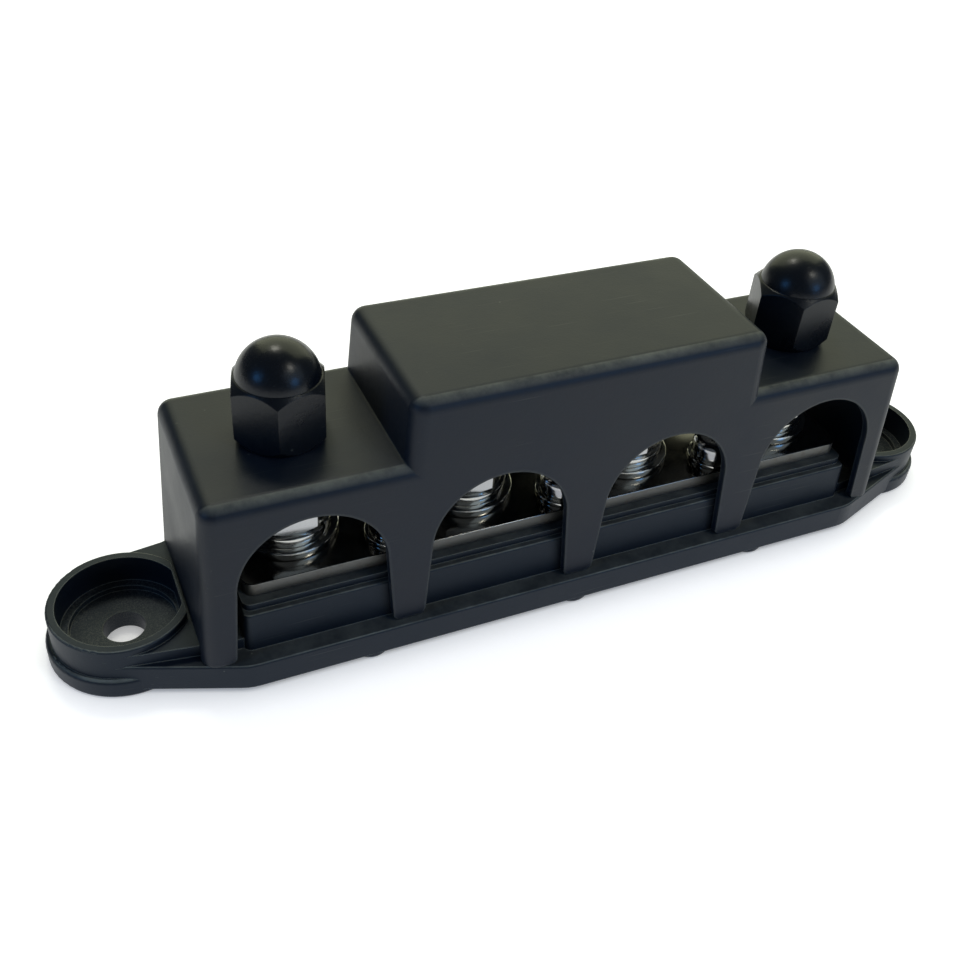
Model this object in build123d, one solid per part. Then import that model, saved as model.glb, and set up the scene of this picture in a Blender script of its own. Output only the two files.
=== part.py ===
from build123d import *
import os
from math import cos, pi, radians, tan

# Covered four-stud bus bar, millimetres. X runs along the bar, +Z is up,
# the origin lies on the mounting surface midway between the two ears.

# Mounting ears
ear_out = 9.7
ear_r = 11.4
ear_wall = 1.45
ear_hole_d = 6.8
ear_rim_z = 9.6
ear_floor_z = 3.4
ear_step_h = 1.0
ear_step_w = 1.4
foot_r = 12.3
foot_top_z = 3.7

# Base moulding
foot_gap = 1.2
flange_t = 4.9
flange_lip = 1.55
flange_corner_r = 9.0
taper_slope = 0.36
web_rise = 2.2
web_slope = 0.14
platform_end_gap = 5.4
platform_side_gap = 0.35
platform_h = 7.3
platform_draft = 2.8
tier_end = 0.6
tier_ledge = 1.5
tier_h = 1.3
base_edge_r = 0.4
bump_edge_r = 0.8
bump_pitch = 38.0
bump_d = 6.8

# Bus bar and studs
bar_end = 0.7
bar_ledge = 1.6
bar_t = 2.5
bar_corner_r = 2.0
stud_count = 4
stud_pitch = 31.6
stud_d = 8.0
stud_reach = 8.3
head_af = 13.0
head_h = 5.3
head_recess = 0.3
fit_gap = 0.05

# Stud hardware
flat_od = 17.2
flat_t = 1.6
spring_od = 14.8
spring_t = 1.9
spring_split = 1.1
nut_af = 13.0
nut_h = 6.5
nut_chamfer = 42.0
nut_turns = (-3.0, -13.0, -24.0, -10.0)

# Small terminal screws between the studs, along the front edge of the bar
screw_d = 4.0
screw_edge = 4.6
screw_head_d = 7.8
screw_head_h = 2.7
screw_reach = 4.5
screw_flat_od = 9.0
screw_flat_t = 0.8
screw_spring_od = 7.2
screw_spring_t = 1.0
recess_w = 0.9
recess_l = 4.2
recess_depth = 1.5

# Cover
cover_end = 18.2
raised_end = 0.6
cover_w = 32.9
cover_side_draft = 1.8
cover_end_draft = 3.6
cover_wall = 1.4
shoulder_z = 36.7
step_h = 11.5
cover_edge_r = 2.4
cover_corner_r = 2.6
arch_bottom_w = 26.2
arch_r = 12.1
arch_top_z = 31.9
arch_foot_r = 1.2
cover_gap = 0.3

# Cap nuts
cap_af = 13.7
cap_hex_h = 10.8
cap_dome_r = 6.8
cap_dome_sink = 1.3
cap_low_chamfer = 54.0
cap_high_chamfer = 48.0
cap_turns = (13.5, 4.0)
cap_bore_top = 1.0

# Derived lengths and widths
cover_l = (stud_count - 1) * stud_pitch + 2 * cover_end
raised_l = (stud_count - 2) * stud_pitch + 2 * raised_end
platform_l = cover_l - 2 * (cover_wall + platform_end_gap)
platform_w = cover_w - 2 * (cover_wall + platform_side_gap)
tier_l = platform_l - 2 * tier_end
tier_w = platform_w - 2 * tier_ledge
bar_l = tier_l - 2 * bar_end
bar_w = tier_w - 2 * bar_ledge
flange_w = cover_w + 2 * flange_lip

# Derived heights and positions
flange_z = foot_gap + flange_t
web_z = flange_z + web_rise
platform_z = flange_z + platform_h
tier_z = platform_z + tier_h
bar_z = tier_z + bar_t
flat_z = bar_z + flat_t
spring_z = flat_z + spring_t
head_top_z = foot_gap + head_recess + head_h
raised_z = shoulder_z + step_h
stud_top_z = shoulder_z + stud_reach
end_x = cover_l / 2
ear_x = end_x + ear_out
stud_x = [(i - (stud_count - 1) / 2) * stud_pitch for i in range(stud_count)]
screw_x = [(i - (stud_count - 2) / 2) * stud_pitch for i in range(stud_count - 1)]
screw_y = screw_edge - bar_w / 2
web_end_x = end_x + cover_gap


def disc(r, z0, z1, x=0.0, y=0.0):
    """Upright cylinder from z0 to z1."""
    return Pos(x, y, z0) * Cylinder(r, z1 - z0, align=(Align.CENTER, Align.CENTER, Align.MIN))


def block(l, w, z0, z1, x=0.0, y=0.0):
    """Upright box from z0 to z1, centred on x, y."""
    return Pos(x, y, z0) * Box(l, w, z1 - z0, align=(Align.CENTER, Align.CENTER, Align.MIN))


def rounded_block(l, w, r, z0, z1, top_r=0.0, draft=0.0):
    """Box with rounded corners, drafted sides and a rounded top rim if asked."""
    solid = extrude(Plane.XY.offset(z0) * RectangleRounded(l, w, r), z1 - z0, taper=draft)
    if top_r > 0:
        solid = fillet(solid.edges().group_by(Axis.Z)[-1], top_r)
    return solid


def hexagon(af, z0, z1, turn=0.0):
    """Upright hexagonal prism given across its flats."""
    sketch = RegularPolygon(af / 2, 6, major_radius=False, rotation=turn)
    return extrude(Plane.XY.offset(z0) * sketch, z1 - z0)


def tangent_outline(r, slope, half_w, z0, z1):
    """Prism between the two ear circles with straight or widening sides."""
    n = (slope / (1 + slope**2) ** 0.5, 1 / (1 + slope**2) ** 0.5)
    tx = ear_x + r * n[0]
    ty = r * n[1]
    reach = (half_w - ty) / slope
    pts = [(tx, ty), (tx - reach, half_w)]
    pts += [(-x, y) for x, y in reversed(pts)]
    pts += [(x, -y) for x, y in reversed(pts)]
    return extrude(Plane.XY.offset(z0) * make_face(Polyline(*pts, close=True)), z1 - z0)


def build_flange():
    body = tangent_outline(ear_r, taper_slope, flange_w / 2, foot_gap, flange_z)
    corners = [e for e in body.edges().filter_by(Axis.Z) if abs(abs(e.center().Y) - flange_w / 2) < 0.01]
    body = fillet(corners, flange_corner_r)
    rim = [e for e in body.edges().group_by(Axis.Z)[-1] if abs(e.center().X) < ear_x - 5]
    return fillet(rim, base_edge_r)


def build_web():
    """Raised strip joining each cup to the platform."""
    half_w = ear_r + web_slope * (ear_x - platform_l / 2)
    web = tangent_outline(ear_r, web_slope, half_w, flange_z - 1, web_z)
    return web & block(2 * ear_x + ear_r, flange_w, 0, ear_rim_z)


def build_ear(side):
    """Cup round one mounting hole, standing on a slightly wider foot."""
    x = side * ear_x
    ear = disc(ear_r, foot_gap, ear_rim_z, x)
    ear = fillet(ear.edges().group_by(Axis.Z)[-1], 0.4)
    over = side * (web_end_x - ear_r)
    ear -= block(2 * ear_r, flange_w, web_z, ear_rim_z + 1, over)
    foot = fillet(disc(foot_r, 0, foot_top_z, x).edges(), 0.7)
    return ear + foot


def build_cup_recess(side):
    """Stepped recess and mounting hole taken out of one ear."""
    x = side * ear_x
    inner_r = ear_r - ear_wall
    over = side * (web_end_x + cover_gap + 2 * ear_r)
    keep = block(4 * ear_r, flange_w, ear_floor_z, ear_rim_z + 1, over)
    low = disc(inner_r - ear_step_w, ear_floor_z, ear_rim_z + 1, x)
    high = disc(inner_r, ear_floor_z + ear_step_h, ear_rim_z + 1, x)
    return (low + high) & keep


def build_bump():
    """Low round foot under the long edge of the flange."""
    bump = disc(bump_d / 2, 0, foot_gap + 1)
    return fillet(bump.edges().group_by(Axis.Z)[0], bump_edge_r)


def build_base():
    base = build_flange() + build_web()
    base += rounded_block(platform_l, platform_w, 1.5, flange_z, platform_z, base_edge_r, platform_draft)
    base += rounded_block(tier_l, tier_w, 1.5, platform_z - 1, tier_z)
    for side in (-1, 1):
        base += build_ear(side)
        for i in (-1, 0, 1):
            base += Pos(i * bump_pitch, side * (flange_w / 2 - bump_d / 2), 0) * build_bump()
    for side in (-1, 1):
        base -= build_cup_recess(side)
        base -= disc(ear_hole_d / 2, -1, ear_rim_z, side * ear_x)
    for x in stud_x:
        base -= Pos(x, 0, 0) * hexagon(head_af + 0.3, foot_gap - 1, head_top_z)
        base -= disc(stud_d / 2 + fit_gap, 0, tier_z + 1, x)
    for x in screw_x:
        base -= disc(screw_d / 2 + 0.5, tier_z - screw_reach, tier_z + 1, x, screw_y)
    return base


def build_bar():
    bar = extrude(Plane.XY.offset(tier_z) * RectangleRounded(bar_l, bar_w, bar_corner_r), bar_t)
    bar = fillet(bar.edges().group_by(Axis.Z)[-1], 0.15)
    for x in stud_x:
        bar -= disc(stud_d / 2 + fit_gap, tier_z - 1, bar_z + 1, x)
    for x in screw_x:
        bar -= disc(screw_d / 2 + fit_gap, tier_z - 1, bar_z + 1, x, screw_y)
    return bar


def build_stud(x):
    """Hexagon-headed stud held from below in the base."""
    stud = hexagon(head_af, head_top_z - head_h, head_top_z)
    shank = disc(stud_d / 2, head_top_z, stud_top_z)
    shank = chamfer(shank.edges().group_by(Axis.Z)[-1], 0.8)
    return Pos(x, 0, 0) * (stud + shank)


def ring(od, bore, z0, z1, x):
    return disc(od / 2, z0, z1, x) - disc(bore / 2, z0 - 1, z1 + 1, x)


def split_ring(od, bore, z0, z1, x, gap, turn):
    """Spring washer: square-section ring with a slanted cut."""
    body = ring(od, bore, z0, z1, 0)
    cut = Rot(0, 0, turn) * Pos(od / 4 + bore / 4, 0, (z0 + z1) / 2) * Rot(35, 0, 0)
    return Pos(x, 0, 0) * (body - cut * Box(od / 2, gap, 4 * (z1 - z0)))


def chamfered_hex(af, z0, z1, turn, low, high):
    """Hexagon whose corners are turned off at an angle at the bottom and the top."""
    body = hexagon(af, z0, z1, turn)
    corner_r = af / 2 / cos(pi / 6)
    flat_r = af / 2 * 0.97
    lower = (corner_r - flat_r) * tan(radians(low))
    upper = (corner_r - flat_r) * tan(radians(high))
    pts = [(0, z0), (flat_r, z0), (corner_r, z0 + lower), (corner_r, z1 - upper), (flat_r, z1), (0, z1)]
    return body & revolve(Plane.XZ * make_face(Polyline(*pts, close=True)), Axis.Z)


def build_nut(x, turn):
    body = chamfered_hex(nut_af, spring_z, spring_z + nut_h, turn, nut_chamfer, nut_chamfer)
    return Pos(x, 0, 0) * (body - disc(stud_d / 2 + fit_gap, spring_z - 1, spring_z + nut_h + 1))


def build_screw(x):
    """Pan-head screw with a cross recess."""
    seat = bar_z + screw_flat_t + screw_spring_t
    top = seat + screw_head_h
    head = disc(screw_head_d / 2, seat, top)
    head = fillet(head.edges().group_by(Axis.Z)[-1], 1.4)
    for turn in (45, 135):
        head -= Rot(0, 0, turn) * block(recess_l, recess_w, top - recess_depth, top + 1)
    shank = disc(screw_d / 2, tier_z - screw_reach + 0.7, seat)
    return Pos(x, screw_y, 0) * (head + shank)


def cover_block(l, w, top, inset):
    """Drafted block with rounded corners and rim; l is given at shoulder height."""
    z0 = flange_z - (inset > 0)
    profiles = []
    for half, draft, level in ((l / 2, cover_end_draft, shoulder_z), (w / 2, cover_side_draft, flange_z)):
        slope = tan(radians(draft))
        low = half - inset - slope * (z0 - level)
        high = half - inset - slope * (top - level)
        profiles.append(make_face(Polyline((low, z0), (high, top), (-high, top), (-low, z0), close=True)))
    body = extrude(Plane.XZ * profiles[0], w, both=True)
    body &= extrude(Plane.YZ * profiles[1], l, both=True)
    corners = [e for e in body.edges() if abs((e % 0.5).Z) > 0.9]
    body = fillet(corners, cover_corner_r - inset)
    return fillet(body.edges().group_by(Axis.Z)[-1], cover_edge_r - inset)


def cover_form(inset):
    """Long low block with the raised middle block; the inset gives the inner form."""
    lean = tan(radians(cover_end_draft)) * (shoulder_z - flange_z)
    low = cover_block(cover_l - 2 * lean, cover_w, shoulder_z - inset, inset)
    return low + cover_block(raised_l, cover_w, raised_z - inset, inset)


def arch_cut(x):
    """Cable arch through the front and back walls."""
    spring = arch_top_z - arch_r
    r = arch_foot_r
    low = flange_z - 2
    lean = (arch_bottom_w / 2 - arch_r) / (spring - flange_z)
    foot = arch_bottom_w / 2 - lean * r
    bow = r * (1 - cos(pi / 4))
    right = Line((arch_r, spring), (foot, flange_z + r))
    right += ThreePointArc((foot, flange_z + r), (foot + bow, flange_z + bow), (foot + r, flange_z))
    right += Line((foot + r, flange_z), (foot + r, low))
    top = ThreePointArc((-arch_r, spring), (0, arch_top_z), (arch_r, spring))
    base = Line((foot + r, low), (-foot - r, low))
    face = make_face(mirror(right, Plane.YZ) + top + right + base)
    return Pos(x, 0, 0) * extrude(Plane.XZ * face, cover_w, both=True)


def build_cover():
    cover = cover_form(0) - cover_form(cover_wall)
    for x in stud_x:
        cover -= arch_cut(x)
    web_half = ear_r + web_slope * (ear_x - end_x + cover_wall + 1) + cover_gap
    for side in (-1, 1):
        x = side * end_x
        cover -= block(4 * cover_wall, 2 * web_half, 0, web_z + 0.1, x)
        cover -= disc(stud_d / 2 + fit_gap, shoulder_z - 5, shoulder_z + 5, side * stud_x[-1])
    return cover


def build_cap_nut(x, turn):
    """Domed cap nut with a blind bore over the stud end."""
    z0 = shoulder_z
    z1 = z0 + cap_hex_h
    body = chamfered_hex(cap_af, z0, z1, turn, cap_low_chamfer, cap_high_chamfer)
    body += Pos(0, 0, z1 - cap_dome_sink) * Sphere(cap_dome_r)
    bore = disc(stud_d / 2 + fit_gap, z0 - 1, stud_top_z + cap_bore_top)
    keep = block(2 * cap_af, 2 * cap_af, z0, z1 + cap_dome_r + 1)
    return Pos(x, 0, 0) * ((body & keep) - bore)


def build_all():
    nodes = {"base": build_base(), "bus_bar": build_bar(), "cover": build_cover()}
    for i, x in enumerate(stud_x, 1):
        nodes[f"stud_{i}"] = build_stud(x)
        nodes[f"flat_washer_{i}"] = ring(flat_od, stud_d + 0.4, bar_z, flat_z, x)
        bore = stud_d + 0.3
        turn = -52 + 23 * (i - 1)
        nodes[f"spring_washer_{i}"] = split_ring(spring_od, bore, flat_z, spring_z, x, spring_split, turn)
        nodes[f"hex_nut_{i}"] = build_nut(x, nut_turns[i - 1])
    for i, x in enumerate(screw_x, 1):
        z0 = bar_z + screw_flat_t
        z1 = z0 + screw_spring_t
        nodes[f"terminal_screw_{i}"] = build_screw(x)
        flat = ring(screw_flat_od, screw_d + 0.3, bar_z, z0, x)
        split = split_ring(screw_spring_od, screw_d + 0.2, z0, z1, x, 0.6, 200)
        nodes[f"screw_flat_washer_{i}"] = Pos(0, screw_y, 0) * flat
        nodes[f"screw_spring_washer_{i}"] = Pos(0, screw_y, 0) * split
    nodes["cap_nut_left"] = build_cap_nut(stud_x[0], cap_turns[0])
    nodes["cap_nut_right"] = build_cap_nut(stud_x[-1], cap_turns[1])
    return nodes


os.makedirs("parts", exist_ok=True)
for name, shape in build_all().items():
    export_step(shape, f"parts/{name}.step")
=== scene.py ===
import bpy
import bmesh
import math
from mathutils import Matrix, Vector


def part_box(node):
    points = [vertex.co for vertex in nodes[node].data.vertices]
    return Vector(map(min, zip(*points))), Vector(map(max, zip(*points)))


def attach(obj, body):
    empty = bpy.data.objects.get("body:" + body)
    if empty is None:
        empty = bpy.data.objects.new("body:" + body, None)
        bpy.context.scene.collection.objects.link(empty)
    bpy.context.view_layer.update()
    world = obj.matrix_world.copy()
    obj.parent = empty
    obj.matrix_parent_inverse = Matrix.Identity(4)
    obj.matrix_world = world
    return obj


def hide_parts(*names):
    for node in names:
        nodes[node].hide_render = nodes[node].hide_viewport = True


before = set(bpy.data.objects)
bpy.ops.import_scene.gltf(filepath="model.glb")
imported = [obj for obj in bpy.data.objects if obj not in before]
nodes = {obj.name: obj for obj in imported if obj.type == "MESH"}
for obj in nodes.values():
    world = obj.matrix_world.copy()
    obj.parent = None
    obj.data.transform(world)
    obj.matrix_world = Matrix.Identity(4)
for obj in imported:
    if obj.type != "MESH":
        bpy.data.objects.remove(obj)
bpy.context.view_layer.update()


# Camera: pose and focal length of the reference view, in metres, degrees and pixels of a 960 px frame.
CAM_AT = (-0.081356, -0.134852, 0.140788)
CAM_AZ, CAM_EL, CAM_ROLL = 27.087, 39.114, 5.087
CAM_F, FRAME_PX, SENSOR_MM, CLIP_NEAR = 1108.691, 960.0, 36.0, 0.005

# Lights: direction from the part, distance, width and height in metres, power in watts, colour.
LIGHTS = (
    ("back_box", (0.36, 0.72, 0.62), 0.95, (1.5, 1.1), 5.8, (0.97, 1.0, 0.68)),
    ("front_box", (0.47, -0.68, 0.57), 1.00, (0.9, 0.7), 0.9, (0.72, 0.87, 1.0)),
    ("back_lamp", (0.02, 0.48, 0.88), 0.90, (0.15, 0.15), 0.95, (1.0, 0.98, 0.88)),
    ("front_lamp", (0.35, -0.46, 0.81), 0.90, (0.15, 0.15), 0.75, (1.0, 0.98, 0.88)),
    ("left_window", (-0.88, -0.18, 0.43), 0.85, (0.22, 0.22), 0.60, (0.10, 0.40, 1.0)),
    ("right_window", (0.43, -0.82, 0.35), 0.85, (0.22, 0.22), 0.55, (0.10, 0.40, 1.0)),
)
SKY, AMBIENT = (0.80, 0.90, 1.0, 1), 0.10

# Floor: half size, paper tones, the glow that camera rays and reflections see, and how near to the part
# and how far down that glow fades into a painted contact shadow.
FLOOR_HALF, FLOOR_ROUGH, FLOOR_SHINE = 3.0, 0.9, 0.1
PAPER_DARK, PAPER_LIGHT = (0.80, 0.80, 0.80), (0.84, 0.84, 0.84)
FLOOR_SEEN, FLOOR_GLINT, FLOOR_SHADED, SHADE_REACH, SHADE_SAMPLES = 0.86, 0.58, 0.1, 0.010, 8

# Hardware, metres and degrees: M8 studs with coarse thread, their nuts and washers, and the cap nuts.
STUD_R, THREAD_PITCH, THREAD_DEPTH, SCREW_R = 0.004, 0.00125, 0.00062, 0.002
STUD_HEAD_TOP, THREAD_FROM = 0.0068, 0.0190
THREAD_FLANK, THREAD_CREST, THREAD_LEAD_OUT = 1.35, 0.2, 0.7
NUT_HALF, NUT_CHAMFER = 0.0065, 42.0
CAP_HALF, CAP_LOW, CAP_HIGH, CAP_DOME_R, CAP_HEX_H = 0.00685, 54.0, 48.0, 0.0066, 0.0108
HEX_FLAT, HEX_SHIFT, BORE_GAP, BORE_SINK, BORE_DEEPER = 0.97, 30.0, 0.00005, 0.0005, 0.001
NUT_TURNS = (-3.0, -13.0, -24.0, -10.0)
CAP_TURNS = {"left": 13.5, "right": 4.0}

# Washers: play round the shank, radius of the rounded edge, and the slanted split of the spring washers.
FLAT_PLAY, FLAT_EDGE = 0.0002, 0.00035
SPRING_PLAY, SPRING_EDGE = 0.00015, 0.0003
SMALL_FLAT_PLAY, SMALL_SPRING_PLAY, SMALL_EDGE = 0.00015, 0.0001, 0.0002
SPLIT_GAP, SPLIT_SLANT = 0.0011, 35.0
SPLIT_FIRST, SPLIT_STEP = -52.0, 23.0
SMALL_GAP, SMALL_SPLIT = 0.0006, 200.0

# Mesh: sharpest smooth angle, numbers of sides and steps, and how much of an edge a soft corner may take.
SHARP, WASHER_SIDES, TURNED_SIDES, STUD_SIDES = 32.0, 72, 96, 48
DOME_STEPS, DOME_END, THREAD_STEPS, CORNER_SHARE = 21, 0.995, 8, 0.49

# Dust on the base and painted light on its ledges: outer radius of an ear, radius of the cup floor with its
# soft border, the levels where the dust ends and is full, and the soft end of the painted light on the
# ledges under the cover.
EAR_R, CUP_R, CUP_BORDER = 0.0123, 0.0100, 0.0004
DUST_TOP, DUST_FULL, LEDGE_LIGHT_BORDER = 0.0062, 0.0048, 0.002

# Noise patterns: scale per metre, detail and, where it isn't 0.5, roughness.
MOTTLE, WAVE, SCUFF, WORN_HIGHLIGHT_PATCH = (60.0, 5.0, 0.65), (140.0, 3.0), (520.0, 4.0, 0.7), (110.0, 5.0, 0.7)
SPECK_PATCH, SCRATCH, SCRATCH_PATCH = (69.0, 2.0), (1.0, 1.0), (45.0, 2.0)
GRIT, GRIT_PATCH, LEDGE_LIGHT = (4200.0, 3.0, 0.7), (150.0, 3.0), (220.0, 4.0, 0.65)
CLOUD, STAIN, FIBRE = (160.0, 3.0), (420.0, 4.0, 0.65), (400.0, 3.0)
SPECK_CELLS = 300.0

# Limits of masks: the value at which each starts and is full, then its lowest and highest strength where
# these aren't 0 and 1. The values are noise, distance in a cell, or a part of the surface's normal.
TONE_AT, SPECK_AT, SPECK_PATCH_AT, SCUFF_AT = (0.35, 0.68), (0.085, 0.03), (0.60, 0.66), (0.50, 0.72)
SCRATCH_AT, SCRATCH_PATCH_AT = (0.72, 0.80), (0.48, 0.66)
# Painted highlight on rim crests: levels of the normal's upright and front parts, and its worn patches.
CREST_TOP, CREST_FOOT, CREST_ALONG = (0.995, 0.97), (0.55, 0.90), (0.10, 0.22)
WORN_HIGHLIGHT_PATCH_AT = (0.35, 0.65, 0.25, 1.0)
GRIT_AT, GRIT_PATCH_AT, LEDGE_LIGHT_AT = (0.44, 0.72, 0.01, 0.34), (0.35, 0.6, 0.45, 1.0), (0.35, 0.65, 0.11, 0.26)
UPWARD_AT, UPRIGHT_AT, EDGE_AT = (0.80, 0.95), (0.5, 0.1), (0.98, 0.75)
CLOUD_AT, STAIN_AT, FIBRE_AT, SHADE_AT = (0.3, 0.7), (0.52, 0.66), (0.3, 0.7), (0.0, 0.9)

# Roughness of plastic and plating: where the noise starts and is full, and how far it goes down and up.
SHEEN_AT, SHEEN_DOWN, SHEEN_UP, PLATING_DOWN, PLATING_UP = (0.3, 0.75), 0.05, 0.07, 0.03, 0.04

# Hairlines on plastic: turn in radians and stretch of the noise along and across.
SCRATCH_RUNS = (
    (0.35, (45.0, 2600.0, 2600.0)),
    (-0.75, (55.0, 2200.0, 2200.0)),
    (1.25, (50.0, 2400.0, 2400.0)),
)
SCRATCH_TILT, SCRATCH_LEAN = 0.3, 0.2

# Colours of plastic that is worn, dusty or carries painted highlights and painted light, and of stained
# plating, and how much rougher each is.
WORN_AND_HIGHLIGHT, WORN_AND_HIGHLIGHT_ROUGHER = (0.34, 0.35, 0.30), 0.2
STAINED, STAINED_ROUGHER, UPRIGHT_ROUGHER = (0.16, 0.13, 0.10), 0.3, 0.32

# Strongest scuff, width of a worn and painted-highlight edge in edge radii, gain of the crest's painted
# highlight, and the darker tint of plating.
SCUFF_LIMIT, RIM_WIDTH, CREST_GAIN, TINT_DIP = 0.55, 3.0, 2, 0.86

# Relief of the materials: noise detail and roughness, and strength and height in metres.
GRAIN_NOISE, MARK_NOISE = (2.0, 0.7), (3.0, 0.6)
GRAIN_BUMP, WAVE_BUMP, MARK_HEIGHT = (0.20, 0.0001), (0.12, 0.0006), 0.00004
BEVEL_SAMPLES, PLASTIC_IOR = 4, 1.5


def add_camera():
    """Camera at the reference view, tilted by its roll."""
    az, el, roll = (math.radians(a) for a in (CAM_AZ, CAM_EL, CAM_ROLL))
    fwd = Vector((math.sin(az) * math.cos(el), math.cos(az) * math.cos(el), -math.sin(el)))
    right = fwd.cross(Vector((0, 0, 1))).normalized()
    up = right.cross(fwd)
    right2 = math.cos(roll) * right + math.sin(roll) * up
    up2 = -math.sin(roll) * right + math.cos(roll) * up
    data = bpy.data.cameras.new("camera")
    data.sensor_fit = "HORIZONTAL"
    data.sensor_width = SENSOR_MM
    data.lens = CAM_F * SENSOR_MM / FRAME_PX
    data.clip_start = CLIP_NEAR
    cam = bpy.data.objects.new("camera", data)
    bpy.context.scene.collection.objects.link(cam)
    turn = Matrix((right2, up2, -fwd)).transposed()
    cam.matrix_world = Matrix.Translation(CAM_AT) @ turn.to_4x4()
    bpy.context.scene.camera = cam


class Nodes:
    """Small helper that builds a material's node tree."""

    def __init__(self, name):
        self.mat = bpy.data.materials.new(name)
        self.mat.use_nodes = True
        self.tree = self.mat.node_tree
        self.shader = self.tree.nodes["Principled BSDF"]
        self.coords = self.add("ShaderNodeTexCoord")

    def add(self, kind, **inputs):
        node = self.tree.nodes.new(kind)
        for key, value in inputs.items():
            self.put(node, key.replace("_", " "), value)
        return node

    def put(self, node, key, value):
        if isinstance(value, bpy.types.NodeSocket):
            self.tree.links.new(value, node.inputs[key])
        else:
            node.inputs[key].default_value = value

    def math(self, op, a, b=0.0, clamp=False):
        node = self.tree.nodes.new("ShaderNodeMath")
        node.operation = op
        node.use_clamp = clamp
        self.put(node, 0, a)
        self.put(node, 1, b)
        return node.outputs[0]

    def product(self, first, *others):
        for other in others:
            first = self.math("MULTIPLY", first, other)
        return first

    def split(self, vector):
        node = self.add("ShaderNodeSeparateXYZ")
        self.put(node, 0, vector)
        return node.outputs

    def surface(self, kind):
        return self.add("ShaderNodeNewGeometry").outputs[kind]

    def stretch(self, scale, turn=(0.0, 0.0, 0.0)):
        node = self.add("ShaderNodeMapping")
        self.put(node, "Vector", self.coords.outputs["Object"])
        node.inputs["Rotation"].default_value = turn
        node.inputs["Scale"].default_value = scale
        return node.outputs[0]

    def noise(self, scale, detail=3.0, rough=0.5, vector=None):
        node = self.add("ShaderNodeTexNoise", Scale=scale, Detail=detail, Roughness=rough)
        self.put(node, "Vector", vector or self.coords.outputs["Object"])
        return node.outputs["Fac"]

    def cells(self, scale):
        node = self.add("ShaderNodeTexVoronoi", Scale=scale)
        self.put(node, "Vector", self.coords.outputs["Object"])
        return node.outputs["Distance"]

    def band(self, value, low, high, out_low=0.0, out_high=1.0):
        node = self.add("ShaderNodeMapRange")
        for key, v in (("Value", value), ("From Min", low), ("From Max", high), ("To Min", out_low),
                       ("To Max", out_high)):
            self.put(node, key, v)
        return node.outputs["Result"]

    def patches(self, pattern, limits, vector=None):
        return self.band(self.noise(*pattern, vector=vector), *limits)

    def blend(self, fac, a, b):
        node = self.tree.nodes.new("ShaderNodeMix")
        node.data_type = "RGBA"
        self.put(node, 0, fac)
        for i, v in ((6, a), (7, b)):
            if isinstance(v, bpy.types.NodeSocket):
                self.tree.links.new(v, node.inputs[i])
            else:
                node.inputs[i].default_value = (*v, 1.0)
        return node.outputs[2]

    def soft_normal(self, radius):
        node = self.add("ShaderNodeBevel", Radius=radius)
        node.samples = BEVEL_SAMPLES
        return node.outputs[0]

    def bump(self, height, strength, distance, below):
        node = self.add("ShaderNodeBump", Strength=strength, Distance=distance)
        self.put(node, "Height", height)
        self.put(node, "Normal", below)
        return node.outputs["Normal"]

    def finish(self, **sockets):
        for key, value in sockets.items():
            self.put(self.shader, key.replace("_", " "), value)
        return self.mat


def edge_mask(n, radius):
    """White along sharp edges, where a bevelled normal departs from the true one."""
    dot = n.tree.nodes.new("ShaderNodeVectorMath")
    dot.operation = "DOT_PRODUCT"
    n.put(dot, 0, n.soft_normal(radius))
    n.put(dot, 1, n.surface("True Normal"))
    return n.band(dot.outputs["Value"], *EDGE_AT)


def crest_highlight_mask(n):
    """Painted highlight along the upper part of the long rounded rims, where light would catch them, broken
    into worn patches.
    """
    normal = n.split(n.surface("Normal"))
    rise = normal["Z"]
    along = n.band(n.math("ABSOLUTE", normal["Y"]), *CREST_ALONG)
    crest_highlight = n.product(n.band(rise, *CREST_TOP), n.band(rise, *CREST_FOOT), along)
    return n.product(crest_highlight, n.patches(WORN_HIGHLIGHT_PATCH, WORN_HIGHLIGHT_PATCH_AT))


def scratches(n):
    """Sparse hairlines in three directions."""
    total = 0.0
    for turn, scale in SCRATCH_RUNS:
        run = n.stretch(scale, (SCRATCH_TILT * turn, SCRATCH_LEAN, turn))
        total = n.math("MAXIMUM", n.patches(SCRATCH, SCRATCH_AT, run), total)
    return n.product(total, n.patches(SCRATCH_PATCH, SCRATCH_PATCH_AT))


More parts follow.
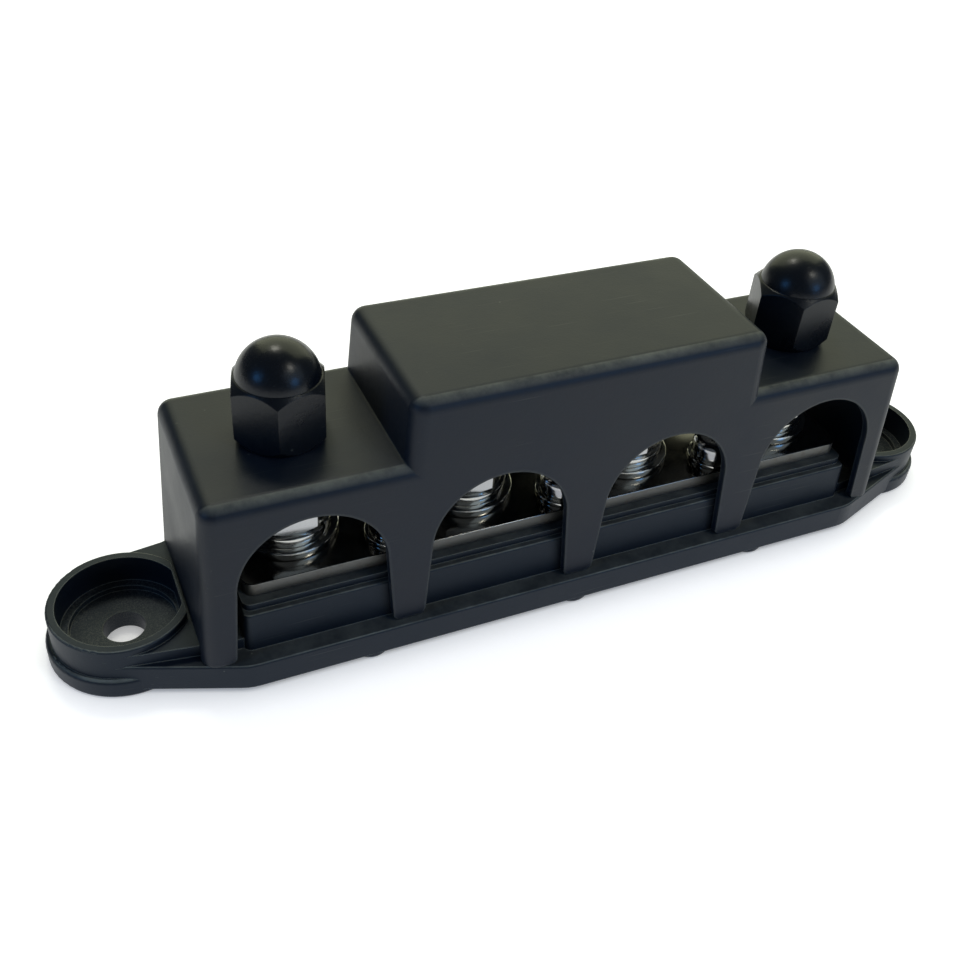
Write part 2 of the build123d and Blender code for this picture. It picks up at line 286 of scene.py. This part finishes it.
def moulded_plastic(name, dark, light, rough, grain, shine, edge=0.0003, wear_and_highlight=0.5, edge_highlight=0.0, marks=0.5,
                    dust_and_ledge_light=None, sheen=(1.0, 1.0, 1.0)):
    """Moulded black plastic: mottled sheen, fine grain, softened and scuffed edges, painted highlight lines
    on edges and rims, specks, hairlines.
    """
    n = Nodes(name)
    mottled = n.noise(*MOTTLE)
    tone = n.blend(n.band(mottled, *TONE_AT), dark, light)
    speck = n.product(n.band(n.cells(SPECK_CELLS), *SPECK_AT), n.patches(SPECK_PATCH, SPECK_PATCH_AT))
    rim = edge_mask(n, edge * RIM_WIDTH)
    scuff_and_highlight = n.product(rim, n.patches(SCUFF, SCUFF_AT), SCUFF_LIMIT)
    # Painted highlight: a pale line along the softened edges and the rims' upper crests, where light would
    # catch them.
    if edge_highlight:
        crest_highlight = n.product(crest_highlight_mask(n), min(1.0, edge_highlight * CREST_GAIN))
        scuff_and_highlight = n.math("MAXIMUM", scuff_and_highlight, n.math("MAXIMUM", n.product(rim, edge_highlight), crest_highlight))
    scuff_and_highlight = n.math("MAXIMUM", scuff_and_highlight, n.product(scratches(n), marks))
    # Pale marks: real specks, scuffs, hairlines and dust, plus painted highlights and painted light.
    pale = n.math("MULTIPLY", n.math("MAXIMUM", speck, scuff_and_highlight), wear_and_highlight, clamp=True)
    if dust_and_ledge_light:
        pale = n.math("MAXIMUM", pale, dust_and_ledge_light(n))
    colour = n.blend(pale, tone, WORN_AND_HIGHLIGHT)
    rough_out = n.math("ADD", n.band(mottled, *SHEEN_AT, rough - SHEEN_DOWN, rough + SHEEN_UP),
                       n.product(pale, WORN_AND_HIGHLIGHT_ROUGHER), clamp=True)
    normal = n.bump(n.noise(grain, *GRAIN_NOISE), *GRAIN_BUMP, n.soft_normal(edge))
    normal = n.bump(n.noise(*WAVE), *WAVE_BUMP, normal)
    return n.finish(Base_Color=colour, Roughness=rough_out, Normal=normal, IOR=PLASTIC_IOR,
                    Specular_IOR_Level=shine, Specular_Tint=(*sheen, 1.0))


def base_dust_and_ledge_light(n):
    """Grey grit on the floors of the two mounting cups, and painted light that makes the upward-facing
    ledges under the cover paler.
    """
    at = n.split(n.coords.outputs["Object"])
    along = n.math("ABSOLUTE", at["X"])
    across = n.math("SUBTRACT", along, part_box("base")[1][0] - EAR_R)
    reach = n.math("SQRT", n.math("ADD", n.math("POWER", n.math("ABSOLUTE", across), 2.0),
                                  n.math("POWER", n.math("ABSOLUTE", at["Y"]), 2.0)))
    inside = n.product(n.band(reach, CUP_R, CUP_R - CUP_BORDER), n.band(at["Z"], DUST_TOP, DUST_FULL))
    cups = n.product(inside, n.patches(GRIT, GRIT_AT), n.patches(GRIT_PATCH, GRIT_PATCH_AT))
    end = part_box("cover")[1][0]
    # Painted light: upward-facing ledges under the cover turn paler, as if they caught light.
    upward = n.band(n.split(n.surface("True Normal"))["Z"], *UPWARD_AT)
    painted_ledge_light = n.product(upward, n.band(along, end, end - LEDGE_LIGHT_BORDER), n.patches(LEDGE_LIGHT, LEDGE_LIGHT_AT))
    return n.math("MAXIMUM", cups, painted_ledge_light)


def plated(name, tint, rough, scale, strength, stretch=(1.0, 1.0, 1.0), edge=0.00012, side=None, stain=0.0):
    """Bright plating with fine marks and uneven sheen; the upright faces may get a darker colour as painted
    shade, more roughness, and stains.
    """
    n = Nodes(name)
    marks = n.noise(scale, *MARK_NOISE, n.stretch(stretch))
    cloudy = n.noise(*CLOUD)
    low = tuple(c * TINT_DIP for c in tint)
    colour = n.blend(n.band(cloudy, *CLOUD_AT), low, tint)
    rough_out = n.band(cloudy, *CLOUD_AT, rough - PLATING_DOWN, rough + PLATING_UP)
    if side:
        upright = n.band(n.math("ABSOLUTE", n.split(n.surface("True Normal"))["Z"]), *UPRIGHT_AT)
        spots = n.product(n.patches(STAIN, STAIN_AT), n.product(upright, stain))
        # Painted shade: upright faces turn to the darker side colour, and then get real stains.
        colour = n.blend(spots, n.blend(upright, colour, side), STAINED)
        rough_out = n.math("ADD", rough_out, n.product(spots, STAINED_ROUGHER), clamp=True)
        rough_out = n.math("ADD", rough_out, n.product(upright, UPRIGHT_ROUGHER))
    normal = n.bump(marks, strength, MARK_HEIGHT, n.soft_normal(edge))
    return n.finish(Base_Color=colour, Metallic=1.0, Roughness=rough_out, Normal=normal)


def give(obj, mat):
    obj.data.materials.clear()
    obj.data.materials.append(mat)


def soften(points, radius, steps=3):
    """Closed outline with each corner replaced by a short curve."""
    out = []
    for i, corner in enumerate(points):
        c = Vector(corner)
        a = Vector(points[i - 1]) - c
        b = Vector(points[(i + 1) % len(points)]) - c
        p = c + a.normalized() * min(radius, a.length * CORNER_SHARE)
        q = c + b.normalized() * min(radius, b.length * CORNER_SHARE)
        for k in range(steps + 1):
            t = k / steps
            out.append((1 - t) ** 2 * p + 2 * t * (1 - t) * c + t * t * q)
    return out


def skin(rings, looped=False, capped=False):
    """Quads between closed rings of equal length, with flat ends if asked."""
    size = len(rings[0])
    verts = [v for ring in rings for v in ring]
    faces = []
    for i in range(len(rings) if looped else len(rings) - 1):
        j = (i + 1) % len(rings)
        for k in range(size):
            m = (k + 1) % size
            faces.append((i * size + k, i * size + m, j * size + m, j * size + k))
    if capped:
        faces.append(tuple(range(size)))
        faces.append(tuple(range(len(verts) - size, len(verts))))
    return verts, faces


def add_piece(name, shape, node, body, mat):
    """Detailed piece that stands for a CAD node."""
    mesh = bpy.data.meshes.new(name)
    mesh.from_pydata([tuple(v) for v in shape[0]], [], shape[1])
    bm = bmesh.new()
    bm.from_mesh(mesh)
    bmesh.ops.recalc_face_normals(bm, faces=bm.faces)
    bm.to_mesh(mesh)
    bm.free()
    mesh.polygons.foreach_set("use_smooth", [True] * len(mesh.polygons))
    mesh.set_sharp_from_angle(angle=math.radians(SHARP))
    piece = bpy.data.objects.new(name, mesh)
    bpy.context.scene.collection.objects.link(piece)
    give(piece, mat)
    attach(piece, body)
    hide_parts(node)


def middle(node):
    """Centre, lowest and highest level and half width of a CAD node."""
    (x0, y0, z0), (x1, y1, z1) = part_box(node)
    return (x0 + x1) / 2, (y0 + y1) / 2, z0, z1, (x1 - x0) / 2


def washer(node, bore, edge, mat, gap=0.0, turn=0.0):
    """Washer with rounded edges, split by a slanted cut if a gap is given."""
    cx, cy, z0, z1, r = middle(node)
    outline = soften([(bore, z0), (r, z0), (r, z1), (bore, z1)], edge)
    slant = math.tan(math.radians(SPLIT_SLANT)) if gap else 0.0
    rings = []
    for k in range(WASHER_SIDES + 1 if gap else WASHER_SIDES):
        ring = []
        for q, z in outline:
            lean = slant * (z - (z0 + z1) / 2) / q
            a = math.radians(turn) + lean + gap / q / 2 + k / WASHER_SIDES * (2 * math.pi - gap / q)
            ring.append((cx + q * math.cos(a), cy + q * math.sin(a), z))
        rings.append(ring)
    shape = skin(rings, looped=not gap, capped=bool(gap))
    add_piece("rounded_" + node, shape, node, "bar_unit", mat)


def turned_ring(cx, cy, radius, level, turn, sides=TURNED_SIDES):
    """Ring of points; radius and level are numbers or functions of the angle."""
    ring = []
    for k in range(sides):
        a = 2 * math.pi * k / sides
        r = radius(a) if callable(radius) else radius
        z = level(a) if callable(level) else level
        t = a + math.radians(turn)
        ring.append((cx + r * math.cos(t), cy + r * math.sin(t), z))
    return ring


def hex_side(half):
    """Distance from the axis to the side of a hexagon, a function of the angle."""
    def radius(a):
        return half / math.cos((a + math.pi / 6) % (math.pi / 3) - math.pi / 6)
    return radius


def bore_mouth(cx, cy, z0, turn):
    """Rings of a threaded hole that opens downwards at level z0."""
    bore = STUD_R + BORE_GAP
    return [turned_ring(cx, cy, bore, z0 + BORE_SINK, turn), turned_ring(cx, cy, bore + BORE_SINK, z0, turn)]


def hex_rings(cx, cy, z0, z1, half, turn, low, high):
    """Rings of a hexagon whose corners are turned off at both ends."""
    side = hex_side(half)
    flat = half * HEX_FLAT
    return [
        turned_ring(cx, cy, flat, z0, turn),
        turned_ring(cx, cy, side, lambda a: z0 + (side(a) - flat) * math.tan(math.radians(low)), turn),
        turned_ring(cx, cy, side, lambda a: z1 - (side(a) - flat) * math.tan(math.radians(high)), turn),
        turned_ring(cx, cy, flat, z1, turn),
    ]


def add_nut(i, mat):
    """Hexagon nut with both ends chamfered and a countersunk bore."""
    node = f"hex_nut_{i}"
    cx, cy, z0, z1, _ = middle(node)
    turn = NUT_TURNS[i - 1] + HEX_SHIFT
    bore = STUD_R + BORE_GAP
    rings = bore_mouth(cx, cy, z0, turn)
    rings += hex_rings(cx, cy, z0, z1, NUT_HALF, turn, NUT_CHAMFER, NUT_CHAMFER)
    rings.append(turned_ring(cx, cy, bore + BORE_SINK, z1, turn))
    rings.append(turned_ring(cx, cy, bore, z1 - BORE_SINK, turn))
    add_piece(f"chamfered_{node}", skin(rings, looped=True), node, f"nut_{i}", mat)


def add_cap(side, stud, mat):
    """Domed cap nut: chamfered hexagon, narrow ledge, dome, and a blind bore from below."""
    node = f"cap_nut_{side}"
    cx, cy, z0, top, _ = middle(node)
    turn = CAP_TURNS[side] + HEX_SHIFT
    z1 = z0 + CAP_HEX_H
    centre = top - CAP_DOME_R
    rings = [turned_ring(cx, cy, STUD_R + BORE_GAP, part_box(stud)[1][2] + BORE_DEEPER, turn)]
    rings += bore_mouth(cx, cy, z0, turn)
    rings += hex_rings(cx, cy, z0, z1, CAP_HALF, turn, CAP_LOW, CAP_HIGH)
    first = math.asin((z1 - centre) / CAP_DOME_R)
    for k in range(DOME_STEPS):
        rise = first + (math.pi / 2 - first) * DOME_END * k / (DOME_STEPS - 1)
        level = centre + CAP_DOME_R * math.sin(rise)
        rings.append(turned_ring(cx, cy, CAP_DOME_R * math.cos(rise), level, turn))
    add_piece(f"domed_{node}", skin(rings, capped=True), node, f"cap_{side}", mat)


def add_stud(i, mat):
    """Stud with a hexagonal head, a plain neck and a rolled thread up to its end."""
    node = f"stud_{i}"
    cx, cy, z0, z1, _ = middle(node)
    side = hex_side(NUT_HALF)
    rings = [turned_ring(cx, cy, side, z, HEX_SHIFT, STUD_SIDES) for z in (z0, STUD_HEAD_TOP)]
    rings.append(turned_ring(cx, cy, STUD_R, STUD_HEAD_TOP, HEX_SHIFT, STUD_SIDES))
    count = int((z1 - THREAD_FROM) / THREAD_PITCH * THREAD_STEPS)
    for k in range(count + 1):
        z = THREAD_FROM + (z1 - THREAD_FROM) * k / count
        start = min(1.0, k / THREAD_STEPS)
        end = max(0.0, z - z1 + THREAD_PITCH * THREAD_LEAD_OUT)

        def radius(a):
            wave = abs(2 * ((z / THREAD_PITCH - a / (2 * math.pi)) % 1.0) - 1)
            cut = min(1.0, max(0.0, THREAD_FLANK * wave - THREAD_CREST))
            return min(STUD_R - THREAD_DEPTH * cut * start, STUD_R - end)
        rings.append(turned_ring(cx, cy, radius, z, HEX_SHIFT, STUD_SIDES))
    add_piece(f"threaded_{node}", skin(rings, capped=True), node, "bar_unit", mat)


def add_stage():
    """Pale paper floor that looks white; the lit paper keeps the part's shadow, and the camera glow is
    darkened near the part into a painted contact shadow.
    """
    mesh = bpy.data.meshes.new("floor")
    bm = bmesh.new()
    bmesh.ops.create_grid(bm, x_segments=8, y_segments=8, size=FLOOR_HALF)
    bm.to_mesh(mesh)
    bm.free()
    floor = bpy.data.objects.new("floor", mesh)
    bpy.context.scene.collection.objects.link(floor)
    n = Nodes("floor_paper")
    lit = n.shader
    lit.inputs["Roughness"].default_value = FLOOR_ROUGH
    lit.inputs["Specular IOR Level"].default_value = FLOOR_SHINE
    n.put(lit, "Base Color", n.blend(n.patches(FIBRE, FIBRE_AT), PAPER_DARK, PAPER_LIGHT))
    path = n.add("ShaderNodeLightPath")
    # Painted shadow: ambient occlusion dims the camera glow near and under the part.
    open_sky = n.add("ShaderNodeAmbientOcclusion", Distance=SHADE_REACH)
    open_sky.samples = SHADE_SAMPLES
    seen_with_painted_shade = n.band(open_sky.outputs["AO"], *SHADE_AT, FLOOR_SHADED, FLOOR_SEEN)
    seen = n.product(path.outputs["Is Camera Ray"], seen_with_painted_shade)
    glow_share = n.math("ADD", seen, n.product(path.outputs["Is Glossy Ray"], FLOOR_GLINT))
    glow = n.add("ShaderNodeEmission", Strength=glow_share)
    both = n.add("ShaderNodeAddShader")
    n.tree.links.new(lit.outputs[0], both.inputs[0])
    n.tree.links.new(glow.outputs[0], both.inputs[1])
    n.tree.links.new(both.outputs[0], n.tree.nodes["Material Output"].inputs["Surface"])
    give(floor, n.mat)


def add_lights():
    """Faint world that the camera sees as white, and the lamps."""
    world = bpy.data.worlds.new("studio")
    bpy.context.scene.world = world
    world.use_nodes = True
    t = world.node_tree
    plain = t.nodes["Background"]
    plain.inputs["Color"].default_value = SKY
    plain.inputs["Strength"].default_value = AMBIENT
    white = t.nodes.new("ShaderNodeBackground")
    white.inputs["Color"].default_value = (1, 1, 1, 1)
    white.inputs["Strength"].default_value = 1.0
    path = t.nodes.new("ShaderNodeLightPath")
    mix = t.nodes.new("ShaderNodeMixShader")
    t.links.new(path.outputs["Is Camera Ray"], mix.inputs[0])
    t.links.new(plain.outputs[0], mix.inputs[1])
    t.links.new(white.outputs[0], mix.inputs[2])
    t.links.new(mix.outputs[0], t.nodes["World Output"].inputs["Surface"])
    for name, toward, far, (wide, high), power, tint in LIGHTS:
        data = bpy.data.lights.new(name, "AREA")
        data.shape = "RECTANGLE"
        data.size, data.size_y = wide, high
        data.energy = power
        data.color = tint
        lamp = bpy.data.objects.new(name, data)
        bpy.context.scene.collection.objects.link(lamp)
        at = Vector(toward).normalized() * far
        turn = (-at).to_track_quat("-Z", "Y").to_matrix().to_4x4()
        lamp.matrix_world = Matrix.Translation(at) @ turn


bpy.context.scene.view_settings.view_transform = "Standard"
add_camera()
add_stage()
add_lights()

cover_mat = moulded_plastic("cover_plastic", dark=(0.006, 0.011, 0.021), light=(0.010, 0.016, 0.028),
                            rough=0.44, grain=2600.0, shine=0.34, edge_highlight=0.5, marks=0.3)
base_mat = moulded_plastic("base_plastic", dark=(0.005, 0.009, 0.017), light=(0.009, 0.014, 0.023),
                           rough=0.46, grain=3000.0, shine=0.36, edge=0.00012, wear_and_highlight=0.8, edge_highlight=0.9,
                           marks=0.2, dust_and_ledge_light=base_dust_and_ledge_light, sheen=(0.76, 0.88, 1.0))
cap_mat = moulded_plastic("cap_plastic", dark=(0.002, 0.004, 0.008), light=(0.004, 0.007, 0.012),
                          rough=0.28, grain=1500.0, shine=0.38, edge=0.0002, wear_and_highlight=0.3, marks=0.2)
# The bar's side colour is painted shade on its upright faces.
bar_mat = plated("bar_metal", tint=(0.28, 0.27, 0.25), rough=0.15, scale=1500.0, strength=0.08,
                 stretch=(0.05, 1.0, 1.0), edge=0.00004, side=(0.18, 0.18, 0.17), stain=0.3)
nut_mat = plated("nut_metal", tint=(0.62, 0.62, 0.61), rough=0.12, scale=1800.0, strength=0.04)
washer_mat = plated("washer_metal", tint=(0.70, 0.69, 0.65), rough=0.14, scale=1600.0, strength=0.06,
                    stretch=(1.0, 1.0, 4.0))
stud_mat = plated("stud_metal", tint=(0.70, 0.69, 0.66), rough=0.18, scale=1200.0, strength=0.08)
screw_mat = plated("screw_metal", tint=(0.48, 0.48, 0.49), rough=0.16, scale=900.0, strength=0.16)

for name, mat in (("cover", cover_mat), ("base", base_mat), ("bus_bar", bar_mat)):
    give(nodes[name], mat)
for i in range(1, 5):
    add_stud(i, stud_mat)
    add_nut(i, nut_mat)
    washer(f"flat_washer_{i}", STUD_R + FLAT_PLAY, FLAT_EDGE, washer_mat)
    washer(f"spring_washer_{i}", STUD_R + SPRING_PLAY, SPRING_EDGE, washer_mat, SPLIT_GAP,
           SPLIT_FIRST + SPLIT_STEP * (i - 1))
for i in range(1, 4):
    give(nodes[f"terminal_screw_{i}"], screw_mat)
    washer(f"screw_flat_washer_{i}", SCREW_R + SMALL_FLAT_PLAY, SMALL_EDGE, washer_mat)
    washer(f"screw_spring_washer_{i}", SCREW_R + SMALL_SPRING_PLAY, SMALL_EDGE, washer_mat, SMALL_GAP,
           SMALL_SPLIT)
add_cap("left", "stud_1", cap_mat)
add_cap("right", "stud_4", cap_mat)
